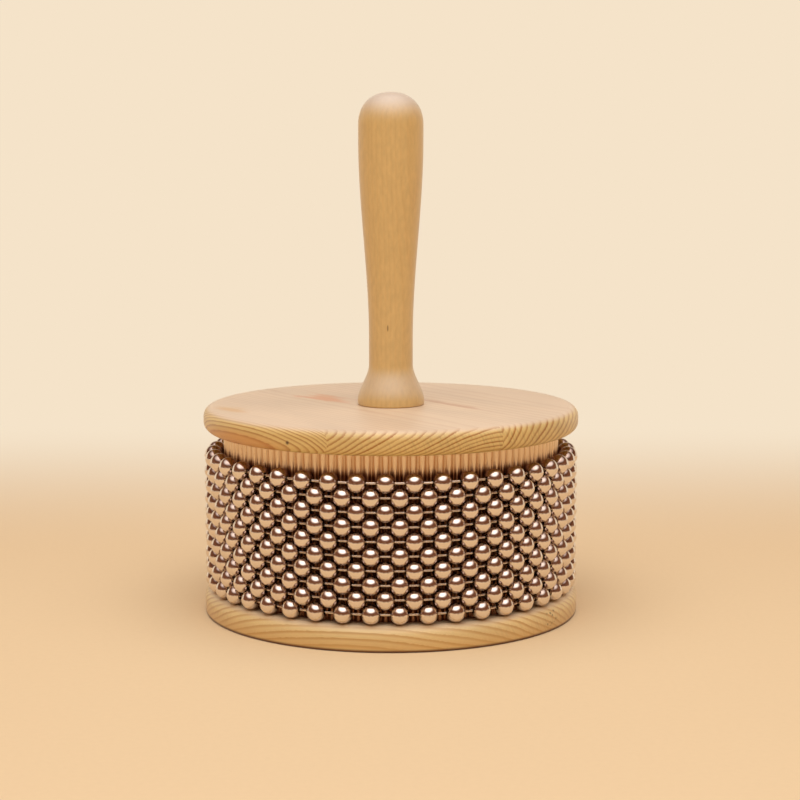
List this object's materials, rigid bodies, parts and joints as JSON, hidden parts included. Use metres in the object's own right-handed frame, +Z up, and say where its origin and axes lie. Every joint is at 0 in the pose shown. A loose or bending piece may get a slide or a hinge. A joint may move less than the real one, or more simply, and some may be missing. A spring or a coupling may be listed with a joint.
{
  "type": "cabasa",
  "caption": "Cabasa, a hand percussion instrument: loops of steel ball chain turn round a fluted steel drum between wooden discs, on a turned wooden handle.",
  "frame": {"origin": "centre of the underside of the bottom disc, on the surface that the cabasa stands on", "axes": "+Z up along the handle and the drum's axis; -Y is the side that the picture shows"},
  "size_m": [0.125, 0.125, 0.1723],
  "materials": {
    "pine": "satin",
    "hardwood": "satin",
    "core_wood": "matte",
    "stainless_sheet": "satin",
    "nickel_bead": "polished",
    "nickel_wire": "polished",
    "zinced_steel": "satin"
  },
  "bodies": {
    "drum": {"bottom_disc": "pine", "core": "core_wood", "sleeve": "stainless_sheet", "top_disc": "pine", "handle": "hardwood", "screw_washer": "zinced_steel", "handle_screw": "zinced_steel"},
    "loop_01": {"beads_01": "nickel_bead", "links_01": "nickel_wire"},
    "loop_02": {"beads_02": "nickel_bead", "links_02": "nickel_wire"},
    "loop_03": {"beads_03": "nickel_bead", "links_03": "nickel_wire"},
    "loop_04": {"beads_04": "nickel_bead", "links_04": "nickel_wire"},
    "loop_05": {"beads_05": "nickel_bead", "links_05": "nickel_wire"},
    "loop_06": {"beads_06": "nickel_bead", "links_06": "nickel_wire"},
    "loop_07": {"beads_07": "nickel_bead", "links_07": "nickel_wire"},
    "loop_08": {"beads_08": "nickel_bead", "links_08": "nickel_wire"},
    "loop_09": {"beads_09": "nickel_bead", "links_09": "nickel_wire"},
    "loop_10": {"beads_10": "nickel_bead", "links_10": "nickel_wire"}
  },
  "joints": [
    {"name": "loop_01_turn", "type": "hinge", "parent": "drum", "child": "loop_01", "pos_m": [0, 0, 0.01132], "axis": [0, 0, 1], "continuous": true},
    {"name": "loop_02_turn", "type": "hinge", "parent": "loop_01", "child": "loop_02", "pos_m": [0, 0, 0.01589], "axis": [0, 0, 1], "range_deg": [-0.12, 0.12]},
    {"name": "loop_03_turn", "type": "hinge", "parent": "loop_02", "child": "loop_03", "pos_m": [0, 0, 0.02046], "axis": [0, 0, 1], "range_deg": [-0.12, 0.12]},
    {"name": "loop_04_turn", "type": "hinge", "parent": "loop_03", "child": "loop_04", "pos_m": [0, 0, 0.02503], "axis": [0, 0, 1], "range_deg": [-0.12, 0.12]},
    {"name": "loop_05_turn", "type": "hinge", "parent": "loop_04", "child": "loop_05", "pos_m": [0, 0, 0.0296], "axis": [0, 0, 1], "range_deg": [-0.12, 0.12]},
    {"name": "loop_06_turn", "type": "hinge", "parent": "loop_05", "child": "loop_06", "pos_m": [0, 0, 0.03416], "axis": [0, 0, 1], "range_deg": [-0.12, 0.12]},
    {"name": "loop_07_turn", "type": "hinge", "parent": "loop_06", "child": "loop_07", "pos_m": [0, 0, 0.03873], "axis": [0, 0, 1], "range_deg": [-0.12, 0.12]},
    {"name": "loop_08_turn", "type": "hinge", "parent": "loop_07", "child": "loop_08", "pos_m": [0, 0, 0.0433], "axis": [0, 0, 1], "range_deg": [-0.12, 0.12]},
    {"name": "loop_09_turn", "type": "hinge", "parent": "loop_08", "child": "loop_09", "pos_m": [0, 0, 0.04787], "axis": [0, 0, 1], "range_deg": [-0.12, 0.12]},
    {"name": "loop_10_turn", "type": "hinge", "parent": "loop_09", "child": "loop_10", "pos_m": [0, 0, 0.05244], "axis": [0, 0, 1], "range_deg": [-0.12, 0.12]}
  ]
}
